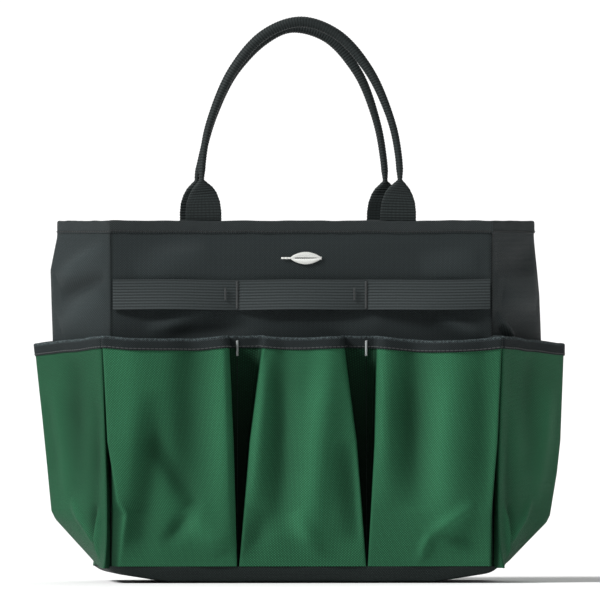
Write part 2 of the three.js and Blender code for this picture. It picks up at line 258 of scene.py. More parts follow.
def tube_piece(name, sections, material):
    """A closed body through a row of closed sections, shut by a fan at each end."""
    rows, columns = sections.shape[:2]
    faces = grid_faces(rows, columns, True)
    vertices = sections.reshape(-1, 3)
    ends = np.stack([sections[0].mean(axis=0), sections[-1].mean(axis=0)])
    first, last = rows * columns, rows * columns + 1
    for j in range(columns):
        after = (j + 1) % columns
        faces.append([first, after, j])
        faces.append([last, (rows - 1) * columns + j, (rows - 1) * columns + after])
    uv = flat_coordinates(sections).reshape(-1, 2)
    uv = np.concatenate([uv, uv[:1], uv[-1:]])
    return make_object(name, np.concatenate([vertices, ends]), faces, uv, material)


def thread_piece(name, runs, radius, arch, material):
    """Strands of thread, each a closed body that rises in its middle.

    runs is (starts, ends, outs): the two ends of each strand and the way out of the cloth."""
    starts, ends, outs = [np.asarray(part, float) for part in runs]
    length = np.linalg.norm(ends - starts, axis=1, keepdims=True)
    along = (ends - starts) / length
    side = np.cross(along, outs)
    side /= np.linalg.norm(side, axis=1, keepdims=True)
    lift = np.cross(side, along)
    share = np.array([0.0, 0.12, 0.5, 0.88, 1.0])
    width = radius * np.array([0.4, 0.9, 1.0, 0.9, 0.4])
    angle = np.arange(6) * math.pi / 3
    centre = starts[:, None] + along[:, None] * (length * share)[..., None]
    centre = centre + lift[:, None] * (arch * 4 * share * (1 - share))[:, None]
    ring = side[:, None] * np.cos(angle)[:, None] + lift[:, None] * np.sin(angle)[:, None]
    points = centre[:, :, None] + ring[:, None] * width[:, None, None]
    strands, rows, columns = points.shape[:3]
    faces = []
    for strand in range(strands):
        first = strand * rows * columns
        last = first + (rows - 1) * columns
        faces += grid_faces(rows, columns, True, start=first, flip=True)
        faces.append(list(range(first, first + columns)))
        faces.append(list(range(last, last + columns))[::-1])
    uv = np.stack(np.broadcast_arrays((length * share)[:, :, None], angle * radius), axis=3)
    return make_object(name, points.reshape(-1, 3), faces, uv.reshape(-1, 2), material)


def stitch_run(path, outs, pitch=3.6, gap=0.6):
    """Running stitches along a path of points, with the way out of the cloth at each."""
    length = distance_along(path)
    places = np.linspace(0, length[-1], max(int(length[-1] / pitch), 1) + 1)

    def at(values, place):
        return np.stack([np.interp(place, length, values[:, i]) for i in range(3)], axis=1)

    middle = (places[:-1] + places[1:]) / 2
    return at(path, places[:-1] + gap / 2), at(path, places[1:] - gap / 2), at(outs, middle)


def joined(*runs):
    """Several runs of strands as one."""
    return [np.concatenate(parts) for parts in zip(*runs)]


def finish_piece(piece, body, slot, *nodes):
    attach(piece, body)
    if nodes:
        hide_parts(*nodes)


# ---- materials ----
class Nodes:
    """Short names for building one material's node tree."""

    def __init__(self, name):
        self.material = bpy.data.materials.new(name)
        self.material.use_nodes = True
        self.tree = self.material.node_tree
        self.shader = self.tree.nodes["Principled BSDF"]

    def add(self, kind, inputs=(), **settings):
        node = self.tree.nodes.new(kind)
        for key, value in settings.items():
            setattr(node, key, value)
        self.fill(node, inputs)
        return node

    def fill(self, node, inputs):
        """Gives each input of a node a value, or a link from another node."""
        for key, value in dict(inputs).items():
            if isinstance(value, bpy.types.NodeSocket):
                self.tree.links.new(value, node.inputs[key])
            else:
                node.inputs[key].default_value = value

    def math(self, operation, a, b=0.0):
        return self.add("ShaderNodeMath", {0: a, 1: b}, operation=operation).outputs[0]

    def cloth_uv(self):
        uv = self.add("ShaderNodeUVMap", uv_map="cloth").outputs[0]
        split = self.add("ShaderNodeSeparateXYZ", {0: uv})
        return uv, split.outputs[0], split.outputs[1]

    def thread(self, coordinate, pitch):
        """0 between two threads and 1 on the crown of a thread."""
        wave = self.math("SINE", self.math("MULTIPLY", coordinate, math.pi / pitch))
        return self.math("ABSOLUTE", wave)

    def noise(self, vector, scale, detail=3.0):
        inputs = {"Vector": vector, "Scale": scale, "Detail": detail}
        return self.add("ShaderNodeTexNoise", inputs).outputs[0]

    def painted_shade(self):
        """Painted shade on the colour: 1 on open cloth, less deep in a fold, as stored on the mesh."""
        return self.add("ShaderNodeAttribute", attribute_name="painted_shade").outputs["Fac"]

    def remap(self, value, low, high, to_low, to_high):
        inputs = {0: value, 1: low, 2: high, 3: to_low, 4: to_high}
        return self.add("ShaderNodeMapRange", inputs).outputs[0]

    def span(self, value, low, high):
        """A value from 0 to 1 turned into one from low to high."""
        return self.remap(value, 0.0, 1.0, low, high)

    def mottle(self, noise, low, high):
        """Noise turned into a factor between low and high."""
        return self.remap(noise, 0.3, 0.7, low, high)

    def times(self, value, *factors):
        """A value multiplied by each factor in turn."""
        for factor in factors:
            value = self.math("MULTIPLY", value, factor)
        return value

    def finish(self, colour, tone, rough, relief, strength, depth_mm):
        """Links colour times tone, roughness and relief to the shader."""
        shade = self.add("ShaderNodeVectorMath", {0: colour, 3: tone}, operation="SCALE")
        bump = self.add("ShaderNodeBump", {"Height": relief, "Strength": strength,
                                           "Distance": depth_mm * MM})
        self.fill(self.shader, {"Base Color": shade.outputs[0], "Roughness": rough,
                                "Normal": bump.outputs[0]})
        return self.material


# The weave's tone is painted shade and highlight: gaps between threads darker, crowns and one set of
# threads lighter.
WEAVE_CONTRAST = 0.7  # between the crown of a thread and the gap beside it
CROWN = 0.32  # how much lighter one set of a weave's threads looks
SLUB_SCALE = 1.3  # thick and thin places in a cloth's threads
PATCH_SCALE = 0.015  # faint uneven dyeing over the whole cloth
RIB_PITCH = 2.4  # between the cross ribs of the handles' webbing


def woven(name, colour, pitch, roughness, specular, edge_wear=None):
    """Plain weave: threads that pass over and under each other by turns.

    The threads that run up the cloth stand a little prouder; the light they catch is painted into the
    colour as a highlight, and the gaps between threads as shade."""
    nodes = Nodes(name)
    uv, u, v = nodes.cloth_uv()
    warp = nodes.thread(u, pitch)
    weft = nodes.thread(v, pitch)
    over = nodes.add("ShaderNodeTexChecker", {"Vector": uv, "Scale": 1.0 / pitch}).outputs[1]
    mix = nodes.add("ShaderNodeMix", {0: over, 2: warp, 3: weft}).outputs[0]
    slub = nodes.noise(uv, SLUB_SCALE)
    patch = nodes.noise(uv, PATCH_SCALE, 2.0)
    height = nodes.times(mix, nodes.mottle(slub, 0.8, 1.1))
    tone = nodes.span(height, 1 - WEAVE_CONTRAST, 1 + WEAVE_CONTRAST / 2)
    tone = nodes.times(tone, nodes.span(over, 1 + CROWN, 1 - CROWN), nodes.mottle(slub, 0.95, 1.05),
                       nodes.mottle(patch, 0.96, 1.04), nodes.painted_shade())
    if edge_wear:
        tone = nodes.times(tone, edge_wear(nodes, uv, v))
    nodes.fill(nodes.shader, {"Specular IOR Level": specular})
    rough = nodes.span(height, roughness + 0.12, roughness - 0.05)
    return nodes.finish(colour, tone, rough, height, 0.8, 0.4)


def ribbed(name, colour, pitch, roughness, low_tone, high_tone):
    """Webbing: cords side by side up the cloth's length, with small cross threads."""
    nodes = Nodes(name)
    uv, u, v = nodes.cloth_uv()
    cord = nodes.thread(v, pitch)
    knit = nodes.thread(u, pitch / 2)
    slub = nodes.noise(uv, 0.8)
    height = nodes.times(cord, nodes.span(knit, 0.6, 1.0))
    # Painted shade and highlight: the cords' crowns are lighter and the grooves between them darker,
    # from low_tone to high_tone.
    tone = nodes.times(nodes.span(height, low_tone, high_tone), nodes.mottle(slub, 0.88, 1.12))
    nodes.fill(nodes.shader, {"Specular IOR Level": 0.15})
    rough = nodes.span(height, roughness + 0.1, roughness - 0.05)
    return nodes.finish(colour, tone, rough, height, 0.6, 0.35)


def fuzzy_edge(nodes, uv, v):
    """Lighter fibres along the fold of a tape, which lies in the middle of its width."""
    fold_at, reach, brightest = TAPE_DROP - 0.6, 2.4, 4.5
    away = nodes.math("ABSOLUTE", nodes.math("SUBTRACT", v, fold_at))
    near = nodes.remap(away, 0.0, reach, 1.0, 0.0)
    hair = nodes.remap(nodes.noise(uv, 0.6), 0.4, 0.62, 0.1, 1.3)
    return nodes.span(nodes.times(near, hair), 1.0, brightest)


def twisted_thread(name, colour, roughness):
    """Sewing thread: two plies twisted round each other, with a slight gloss."""
    nodes = Nodes(name)
    uv, u, v = nodes.cloth_uv()
    ply = nodes.thread(nodes.math("ADD", u, v), 0.45)
    hair = nodes.noise(uv, 3.0, 2.0)
    # Painted shade in the groove between the plies and a painted highlight on their crowns.
    tone = nodes.times(nodes.span(ply, 0.72, 1.12), nodes.mottle(hair, 0.9, 1.1))
    nodes.fill(nodes.shader, {"Sheen Weight": 0.1})
    return nodes.finish(colour, tone, nodes.span(ply, roughness + 0.1, roughness), ply, 0.5, 0.1)


def plain_grain(name, colour, roughness, scale):
    """A matte board or filler cord: mottled colour and a fine grain."""
    nodes = Nodes(name)
    place = nodes.add("ShaderNodeTexCoord").outputs["Object"]
    grain = nodes.noise(place, scale, 5.0)
    tone = nodes.mottle(grain, 0.75, 1.2)
    rough = nodes.mottle(grain, roughness - 0.1, roughness + 0.1)
    return nodes.finish(colour, tone, rough, grain, 0.3, 0.3)


CHARCOAL = woven("charcoal_cloth", (0.024, 0.031, 0.032), 1.05, 0.45, 0.10)
GREEN = woven("green_cloth", (0.023, 0.109, 0.053), 1.05, 0.55, 0.07)
BASE_CLOTH = woven("base_cloth", (0.014, 0.020, 0.019), 1.05, 0.55, 0.1)
RIM_TAPE = woven("rim_tape", (0.026, 0.032, 0.033), 0.9, 0.6, 0.15)
POCKET_TAPE = woven("pocket_tape", (0.017, 0.022, 0.023), 0.9, 0.7, 0.1, edge_wear=fuzzy_edge)
STRAP_WEB = ribbed("strap_webbing", (0.032, 0.039, 0.040), 2.5, 0.6, 0.6, 1.25)
HANDLE_WEB = ribbed("handle_webbing", (0.013, 0.017, 0.017), RIB_PITCH, 0.6, 0.35, 1.7)
PALE_THREAD = twisted_thread("pale_thread", (0.42, 0.45, 0.45), 0.5)
LEAF_THREAD = twisted_thread("leaf_thread", (0.72, 0.73, 0.70), 0.45)
DARK_THREAD = twisted_thread("dark_thread", (0.032, 0.036, 0.037), 0.6)
# Near-black thread: the stitches near the rim tape's lower edge also paint the dark shadow line under
# it.
RIM_THREAD_AS_SHADOW = twisted_thread("rim_thread_as_shadow", (0.006, 0.008, 0.008), 0.7)
BOARD = plain_grain("base_board", (0.25, 0.22, 0.17), 0.7, 300)
CORE = plain_grain("core_cord", (0.5, 0.48, 0.42), 0.85, 500)


# ---- camera, light and floor ----
VIEW_AZIMUTH = math.radians(-3.5)  # the camera stands a little to the left
VIEW_DISTANCE = 15.0
FRAME_WIDTH = 0.504  # what the picture spans at the bag's middle
VIEW_TARGET = (0.0034, 0.0, 0.236)
AMBIENT = 0.2  # brightness of the light from the studio's white walls
BACKDROP = 1.1  # brightness of those walls as the camera sees them
FLOOR_HALF = 40.0
# Each lamp's direction, strength, and the angle in degrees over which its light spreads.
LAMPS = {
    "key": ((0.72, 0.36, -0.60), 4.5, 16),
    "fill": ((-0.75, 0.55, -0.35), 0.15, 50),
    "rear": ((-0.2, -0.8, -0.9), 0.8, 50),
}


def add_camera():
    camera = bpy.data.cameras.new("camera")
    camera.sensor_width = 36
    camera.lens = camera.sensor_width * VIEW_DISTANCE / FRAME_WIDTH
    camera.clip_end = 100
    holder = new_object("camera", camera)
    x, y, z = VIEW_TARGET
    holder.location = (x + VIEW_DISTANCE * math.sin(VIEW_AZIMUTH),
                       y - VIEW_DISTANCE * math.cos(VIEW_AZIMUTH), z)
    holder.rotation_euler = (math.pi / 2, 0, VIEW_AZIMUTH)
    bpy.context.scene.camera = holder


def add_sun(name, direction, strength, spread):
    """A large soft lamp so far away that it lights everything evenly."""
    light = bpy.data.lights.new(name, "SUN")
    light.energy = strength
    light.angle = math.radians(spread)
    lamp = new_object(name, light)
    lamp.rotation_euler = Vector(direction).to_track_quat("-Z", "Y").to_euler()


def add_floor():
    mesh = bpy.data.meshes.new("floor")
    corners = [(x * FLOOR_HALF, y * FLOOR_HALF, 0) for x, y in ((-1, -1), (1, -1), (1, 1), (-1, 1))]
    mesh.from_pydata(corners, [], [(0, 1, 2, 3)])
    paint = Nodes("floor")
    paint.fill(paint.shader, {"Base Color": (0.93, 0.93, 0.93, 1), "Roughness": 0.9})
    mesh.materials.append(paint.material)
    floor = new_object("floor", mesh)
    floor.location.z = -0.0005


def add_surroundings():
    """A white backdrop that is brighter to look at than the light it gives."""
    world = bpy.data.worlds.new("studio")
    world.use_nodes = True
    tree = world.node_tree
    glow, backdrop = tree.nodes["Background"], tree.nodes.new("ShaderNodeBackground")
    for white, brightness in ((glow, AMBIENT), (backdrop, BACKDROP)):
        white.inputs["Color"].default_value = (1, 1, 1, 1)
        white.inputs["Strength"].default_value = brightness
    seen = tree.nodes.new("ShaderNodeLightPath").outputs["Is Camera Ray"]
    mix = tree.nodes.new("ShaderNodeMixShader")
    tree.links.new(seen, mix.inputs[0])
    tree.links.new(glow.outputs[0], mix.inputs[1])
    tree.links.new(backdrop.outputs[0], mix.inputs[2])
    tree.links.new(mix.outputs[0], tree.nodes["World Output"].inputs[0])
    bpy.context.scene.world = world
    bpy.context.scene.view_settings.view_transform = "Standard"
    for name, lamp in LAMPS.items():
        add_sun(name, *lamp)


# ---- body ----
def fold_share(t):
    """How far out the side stands at t, from -1 at the front seam to 1 at the back one."""
    soft = 0.07
    return 1 - (np.sqrt(t * t + soft * soft) - soft) / (math.sqrt(1 + soft * soft) - soft)


def side_points(z, t, fold=RIGHT_FOLD):
    """Points of the right side wall at heights z and places t between its two seams."""
    x = HALF_FRONT + (value_at(fold, z) - HALF_FRONT) * fold_share(t)
    return grid_points(x, half_depth(z) * t, z)


def front_points(x, z):
    return grid_points(x, -half_depth(z), z)


def half_turn(points):
    """The same piece on the other side of the bag."""
    return points * np.array([-1, -1, 1])


WALL_FOOT = BASE_TOP - 1  # the walls reach from inside the base's turned-up edge
WALL_HEAD = RIM_TOP - 2  # up to inside the rim's tape


def wall_heights(low=WALL_FOOT, high=WALL_HEAD, step=2.0):
    return np.linspace(low, high, max(int(round((high - low) / step)), 2))[:, None]


def seam_pull(distance, z):
    """Cloth is drawn in a little beside a seam, but not under the rim's tape."""
    width, depth = 7.0, 0.9
    return -depth * np.exp(-distance / width) * np.clip((RIM_TOP - TAPE_DROP - z) / 15, 0, 1)


def free_cloth(z):
    """1 on the stretch of wall between the pockets and the rim's tape, 0 where it is held."""
    held_behind_pockets, fade_low, fade_high = 22, 16, 14
    above = np.clip((z - POCKET_TOP + held_behind_pockets) / fade_low, 0, 1)
    return above * np.clip((RIM_TOP - TAPE_DROP - z) / fade_high, 0, 1)


def creased(shape, across, up, creases):
    for one in creases:
        shape = shape + crease(across, up, *one)
    return shape


def relief_shade(shape, strength=0.055):
    """Painted shade and highlight on the colour: ridges of cloth lighter than the valleys between them.
    """
    return np.clip(1 + strength * shape, 0.6, 1.35)


def seam_shade(edge):
    """A painted line of shadow where two walls are sewn together."""
    return 1 - 0.55 * np.exp(-((edge / 1.8) ** 2))


def front_wall(seed, creases):
    z = wall_heights()
    x = np.linspace(-HALF_FRONT, HALF_FRONT, 201)[None, :]
    points = front_points(x, z)
    edge = HALF_FRONT - np.abs(x)
    shape = 1.2 * rumple(x, z, 170, seed) + 0.35 * rumple(x, z, 60, seed + 1)
    shape = shape + DRAPE * creased(0, x, z, creases)
    shape = shape * np.clip(edge / 14, 0, 1) * free_cloth(z)
    # Painted shade: lighter ridges, darker valleys and a dark line along each seam.
    painted_shade = relief_shade(shape, 0.1) * seam_shade(edge)
    return push_out(points, shape + seam_pull(edge, z)), painted_shade


def side_wall(seed, fold, creases):
    """A side wall; creases are placed by the distance from its middle fold and the height."""
    z = wall_heights()
    t = np.linspace(-1, 1, 111)[None, :]
    points = side_points(z, t, fold)
    across = half_depth(z) * t
    edge = half_depth(z) * (1 - np.abs(t))
    shape = 0.9 * rumple(across, z, 130, seed) + 0.4 * rumple(across, z, 50, seed + 1)
    shape = shape + DRAPE * creased(0, across, z, creases)
    shape = shape * np.clip(edge / 9, 0, 1) * np.clip(np.abs(across) / 12, 0.15, 1) * free_cloth(z)
    # Painted shade: lighter ridges, darker valleys and a dark line along each seam.
    painted_shade = relief_shade(shape, 0.1) * seam_shade(edge)
    return push_out(points, shape + seam_pull(edge, z)), painted_shade


DRAPE = 1.4  # how many times deeper the creases of walls and face pockets are
# Creases: start, end, width, height of the ridge (negative for a valley) and height of a step.
FRONT_CREASES = (
    ((-138, 256), (-78, 282), 15, 2.2), ((-130, 209), (-76, 228), 7, 2.4),
    ((-110, 206), (-40, 216), 6, -1.6), ((112, 222), (152, 204), 7, 2.6),
    ((100, 262), (150, 268), 12, 1.8), ((-20, 218), (70, 214), 9, 1.6),
)
RIGHT_CREASES = (
    ((-71, 259), (-4, 258), 5, 0, -1.4), ((-70, 224), (-44, 203), 3.5, 2.6),
    ((-66, 214), (-50, 200), 3, -2.0), ((-60, 240), (-10, 232), 9, 1.6),
)
LEFT_CREASES = (
    ((12, 252), (70, 285), 8, 2.6), ((16, 240), (71, 257), 6, -2.8), ((14, 214), (68, 240), 11, 2.4),
)


def add_walls():
    walls = (("front", front_wall(11, FRONT_CREASES), 1), ("back", front_wall(12, FRONT_CREASES), -1),
             ("right_side", side_wall(21, RIGHT_FOLD, RIGHT_CREASES), 1),
             ("left_side", side_wall(22, LEFT_FOLD, LEFT_CREASES), -1))
    for name, (points, painted_shade), side in walls:
        if side < 0:
            points = half_turn(points)
        piece = sheet_piece(f"{name}_cloth", points, CLOTH, CHARCOAL, painted_shade=painted_shade)
        finish_piece(piece, "bag", "charcoal_cloth", f"{name}_panel")


# ---- tapes ----
def surface_at(rows, down, drop):
    """The row of a grid (top row first) that lies a distance below the first one."""
    place = np.interp(drop, down, np.arange(len(down)))
    row = int(min(place, len(down) - 2))
    return rows[row] * (1 - place + row) + rows[row + 1] * (place - row)


def path_normals(path, looped):
    """Outward level normals of a path of points, lengthened at its corners."""
    if looped:
        before = path - np.roll(path, 1, axis=0)
        after = np.roll(path, -1, axis=0) - path
    else:
        step = np.diff(path, axis=0)
        before = np.concatenate([step[:1], step])
        after = np.concatenate([step, step[-1:]])
    flat = lambda d: np.stack([d[:, 1], -d[:, 0]], axis=1) / np.hypot(d[:, 0], d[:, 1])[:, None]
    first, second = flat(before), flat(after)
    total = first + second
    scale = 1 + (first * second).sum(axis=1, keepdims=True)
    return np.concatenate([total / np.maximum(scale, 0.5), np.zeros((len(path), 1))], axis=1)


def add_tape(name, cloth, thick, material, thread, seed, node, looped=False):
    """A binding tape folded over the top edge of a grid of cloth, and its line of stitches."""
    rows = cloth[::-1]
    normals = grid_normals(cloth, looped)[::-1]
    step = np.linalg.norm(np.diff(rows, axis=0), axis=2).mean(axis=1)
    down = running_total(step)
    half = thick / 2 + TAPE
    drops = np.linspace(TAPE_DROP - half, 0.3, 7)

    def beside(drop, distance):
        return surface_at(rows, down, drop) + surface_at(normals, down, drop) * distance

    outer = [beside(drop, TAPE) for drop in drops]
    inner = [beside(drop, -thick - TAPE) for drop in drops[::-1]]
    middle = rows[0] - normals[0] * thick / 2
    turns = [middle + half * (normals[0] * math.cos(a) + np.array([0, 0, 1]) * math.sin(a))
             for a in np.linspace(0, math.pi, 9)]
    points = np.stack(outer + turns + inner)
    length = flat_coordinates(points)
    swell = 0.16 * rumple(length[..., 0], length[..., 1] * 2, 16, seed)
    points = push_out(points, swell, looped)
    points[..., 2] += 0.3 * rumple(length[..., 0], 0 * length[..., 1], 34, seed + 3)
    piece = sheet_piece(name, points, TAPE * 0.7, material, looped)
    finish_piece(piece, "bag", "binding_tape", node)
    outs = grid_normals(points, looped)
    runs = []
    for row in (1, len(points) - 2):
        line, out = points[row] + outs[row] * 0.1, outs[row]
        if looped:
            line, out = [np.concatenate([part, part[:1]]) for part in (line, out)]
        runs.append(stitch_run(line, out))
    stitches = thread_piece(f"{name}_stitches", joined(*runs), 0.42, 0.2, thread)
    finish_piece(stitches, "bag", "binding_tape")


def rim_cloth():
    """The top edge of the four walls as one looped grid."""
    z = np.linspace(RIM_TOP - 16, RIM_TOP - TAPE, 9)[:, None]
    x = np.arange(-HALF_FRONT, HALF_FRONT, 3.0)[None, :]
    side = side_points(z, np.linspace(-1, 1, 60)[:-1][None, :])
    half = np.concatenate([front_points(x, z), side], axis=1)
    return np.concatenate([half, half_turn(half)], axis=1)


def add_corner_tapes():
    """Tape over the raw edges of the four corner seams, inside the bag."""
    reach, inset = 8.0, 2.3
    z = wall_heights(BASE_TOP + 1, RIM_TOP - TAPE_DROP - 2, 3.0)
    front = front_points(np.linspace(HALF_FRONT - reach, HALF_FRONT, 9)[None, :-1], z)
    side = side_points(z, -1 + np.linspace(0, reach / 80, 9)[None, :])
    right = soften(np.concatenate([front, side], axis=1), 2)
    right = push_out(right, np.full(right.shape[:2], -inset) + 0.2 * rumple(right[..., 0], z, 20, 71))
    mirror = right[:, ::-1] * np.array([-1, 1, 1])
    corners = {"front_right": right, "front_left": mirror,
               "back_left": half_turn(right), "back_right": half_turn(mirror)}
    for name, points in corners.items():
        piece = sheet_piece(f"corner_{name}_tape", points, TAPE, RIM_TAPE)
        finish_piece(piece, "bag", "binding_tape", f"corner_tape_{name}")


# ---- pockets ----
# Height and distance from the bag's middle of each face's two edges, left and right. A pleat
# beside a divider folds in under the face; the ones at the corners go straight to their seam.
LEFT_POCKET = {
    "seams": (-159.4, -DIVIDER_X - 0.3),
    "left": ((13, -153), (39, -150.5), (57, -148), (68, -154.5), (99, -160.5), (118, -164),
             (205, -168.5)),
    "right": ((13, -54.6), (118, -58), (205, -62)),
    "tucked": (False, True),
}
CENTRE_POCKET = {
    "seams": (-DIVIDER_X + 0.3, DIVIDER_X - 0.3),
    "left": ((13, -53), (118, -44.5), (205, -33)),
    "right": ((13, 53.4), (118, 45), (205, 33.5)),
    "tucked": (True, True),
}
RIGHT_POCKET = {
    "seams": (DIVIDER_X + 0.3, 159.4),
    "left": ((13, 54.6), (118, 60), (205, 62)),
    "right": ((13, 157), (55, 157.5), (118, 163), (205, 167)),
    "tucked": (True, False),
}
POCKET_FLOOR = BASE_TOP + 0.2
BULGE_TOP = -POCKET_LOW[1] - TAPE - half_depth(POCKET_TOP) - 1.0
BULGE_BOTTOM = 4.0
# Painted shade of the cloth deep in a pleat and in a corner gusset, low down and near the top.
PLEAT_SHADE = (0.05, 0.35)  # how dark the cloth deep in a pleat looks, low and high
CORNER_SHADE = (0.35, 0.7)


def face_pocket(drawing, seed, sag, creases):
    """A front pocket and its painted shade: gussets back to its two seams, a face between soft folds.
    """
    share = np.linspace(0, 1, 100)[:, None]
    z = POCKET_FLOOR + (POCKET_TOP - 1 - POCKET_FLOOR) * share
    panel = -half_depth(z) - 1.3
    face = panel - BULGE_BOTTOM - (BULGE_TOP - BULGE_BOTTOM) * (1 - (1 - share) ** 2)
    left = value_at(drawing["left"], z)
    right = value_at(drawing["right"], z)
    corners, shades = [], []
    for edge, seam, tucked in zip((left, right), drawing["seams"], drawing["tucked"]):
        seam = np.full_like(z, seam)
        under = (edge, panel) if tucked else ((seam + edge) / 2, (panel + face) / 2)
        corners.append([(seam, panel), under, (edge, face)])
        # Painted shade of each gusset: darker low down, lighter near the top where light reaches in.
        low, high = PLEAT_SHADE if tucked else CORNER_SHADE
        shades.append(low + (high - low) * share ** 3)
    keys = corners[0] + corners[1][::-1]
    keys = np.stack([np.concatenate([x, y, z], axis=1) for x, y in keys], axis=1)
    points = soften(resample(keys, (8, 10, 64, 10, 8)), 3)
    x, z = points[..., 0], points[..., 2]
    width = np.clip((x - left) / (right - left), 0, 1)
    middle = 4 * width * (1 - width)
    points[..., 2] -= sag * middle * share ** 3
    shape = 2.5 * middle * share ** 2 + 1.0 * rumple(x, z, 120, seed) * middle
    shape = shape + 0.35 * rumple(x, z, 45, seed + 1) * np.sqrt(middle)
    shape = shape + DRAPE * creased(0, x, z, creases) * np.clip(middle * 5, 0, 1)
    # Painted shade: cloth running back towards the panel, into a pleat or corner, is darkened; the
    # face's ridges and valleys get relief_shade.
    depth = np.clip((panel - points[..., 1]) / np.maximum(panel - face, 1), 0, 1)
    shade = np.where(width < 0.5, *shades)
    painted_shade = shade + (1 - shade) * np.clip(depth * 1.1, 0, 1) ** 3
    shape = shape * np.clip(share * 8, 0, 1)
    return push_out(points, shape), painted_shade * relief_shade(shape - 2.5 * middle * share ** 2)


LEFT_POCKET_FOLD = ((13, 168), (17.6, 171), (52, 203), (59, 206.5), (118, 212.5), (198, 221))
RIGHT_POCKET_FOLD = ((13, 175), (17, 180), (49, 212), (55, 215), (90, 221), (118, 224), (198, 227))


def side_pocket(seed, fold, creases, open_shade, spread):
    """A side pocket and its painted shade, which is open_shade away from its seams.

    spread is how far its two corners stand off the bag's corners at the bottom."""
    share = np.linspace(0, 1, 100)[:, None]
    floor = POCKET_FLOOR - 1.6
    height = SIDE_POCKET_HIGH[2] - 1 - floor
    z = floor + height * share
    tip_z = floor + (height - 7) * share
    panel = half_depth(z) + 0.6
    face = panel + BULGE_BOTTOM + (12 - BULGE_BOTTOM) * share
    face_x = 161.5 + 6.5 * share + spread * np.exp(-share / 0.13)
    seam_x = np.full_like(z, HALF_FRONT + 0.5)
    tip = value_at(fold, tip_z)
    keys = np.stack([np.concatenate(key, axis=1) for key in (
        (seam_x, -panel, z), (face_x, -face, z), (tip, 0 * z, tip_z),
        (face_x, face, z), (seam_x, panel, z))], axis=1)
    points = soften(resample(keys, (8, 50, 50, 8)), 4)
    y, z = points[..., 1], points[..., 2]
    shape = 0.9 * rumple(y, z, 110, seed) + 0.35 * rumple(y, z, 40, seed + 1)
    edge = np.clip((face - np.abs(y)) / 14, 0, 1) * np.clip(np.abs(y) / 14, 0.1, 1)
    shape = creased(shape, y, z, creases) * edge
    # Painted shade: darkest at the seams (CORNER_SHADE[0]), rising to open_shade away from them, with
    # relief_shade on top.
    shade = CORNER_SHADE[0]
    column = np.arange(y.shape[1])[None, :]
    off_seam = np.clip((np.minimum(column, column[:, ::-1]) - 2) / 8, 0, 1)
    painted_shade = shade + (open_shade - shade) * off_seam
    shape = shape * np.clip(share * 8, 0, 1)
    return push_out(points, shape), painted_shade * relief_shade(shape, 0.12)


def add_pocket(name, pocket, turn=False):
    points, painted_shade = pocket
    if turn:
        points = half_turn(points)
    piece = sheet_piece(f"{name}_cloth", points, CLOTH, GREEN, painted_shade=painted_shade)
    finish_piece(piece, "bag", "green_cloth", name)
    seed = sum(ord(letter) for letter in name)
    edge = points[-30:].copy()
    edge[:, :, 2] += 1.0
    add_tape(f"{name}_tape", edge, CLOTH, POCKET_TAPE, DARK_THREAD, seed, f"{name}_binding")


LEFT_POCKET_CREASES = (
    ((-96, 60), (-93, 240), 15, -5.0), ((-66, 20), (-64, 240), 11, 3.4),
    ((-140, 60), (-146, 230), 16, 3.2), ((-122, 160), (-138, 5), 13, -5.0),
    ((-130, 126), (-88, 62), 8, -3.6), ((-86, 68), (-116, 30), 7, -3.0),
    ((-98, 62), (-66, 24), 11, 3.4),
)
CENTRE_POCKET_CREASES = (
    ((-16, 225), (-20, 40), 10, -4.4), ((26, 235), (4, 30), 13, 5.0), ((-32, 190), (-42, 60), 8, 3.0),
    ((34, 120), (46, 30), 9, -3.4), ((-8, 60), (14, 16), 8, 3.0), ((-30, 60), (-44, 14), 9, -2.6),
)
RIGHT_POCKET_CREASES = (
    ((92, 225), (94, 60), 12, -5.4), ((68, 225), (68, 60), 9, 2.6), ((124, 215), (119, 40), 16, 5.4),
    ((152, 210), (150, 60), 10, -2.6), ((94, 8), (106, 42), 4, 3.0), ((104, 38), (144, 66), 6, 2.6),
    ((126, 40), (150, 16), 9, -2.8),
)
SIDE_POCKET_CREASES = (
    ((-79, 64), (-60, 14), 3.2, 3.4), ((-70, 66), (-52, 16), 4, -3.2), ((-82, 150), (-66, 40), 9, -2.4),
    ((-36, 70), (-68, 16), 5, 3.0), ((-50, 190), (-46, 90), 12, -2.2), ((-20, 170), (-30, 60), 9, 1.8),
)


# Each face pocket's drawing, creases, seed and sag. A back pocket is a front one turned round.
FACE_POCKETS = {
    "front_pocket_left": (LEFT_POCKET, LEFT_POCKET_CREASES, 31, 2.5),
    "front_pocket_centre": (CENTRE_POCKET, CENTRE_POCKET_CREASES, 33, 1.5),
    "front_pocket_right": (RIGHT_POCKET, RIGHT_POCKET_CREASES, 35, 4.0),
    "back_pocket_right": (LEFT_POCKET, LEFT_POCKET_CREASES[:3], 37, 2.5),
    "back_pocket_centre": (CENTRE_POCKET, CENTRE_POCKET_CREASES[:3], 39, 1.5),
    "back_pocket_left": (RIGHT_POCKET, RIGHT_POCKET_CREASES[:3], 41, 3.0),
}


def add_pockets():
    for name, (drawing, creases, seed, sag) in FACE_POCKETS.items():
        add_pocket(name, face_pocket(drawing, seed, sag, creases), name.startswith("back"))
    add_pocket("side_pocket_right", side_pocket(43, RIGHT_POCKET_FOLD, SIDE_POCKET_CREASES, 1.0, 8))
    mirrored = tuple(((-a[0], a[1]), (-b[0], b[1]), *rest) for a, b, *rest in SIDE_POCKET_CREASES)
    # The left side pocket faces the ground a little, so it gets more painted shade (0.68) than the
    # right one (1.0).
    left = side_pocket(45, LEFT_POCKET_FOLD, mirrored, 0.68, 5)
    add_pocket("side_pocket_left", left, True)


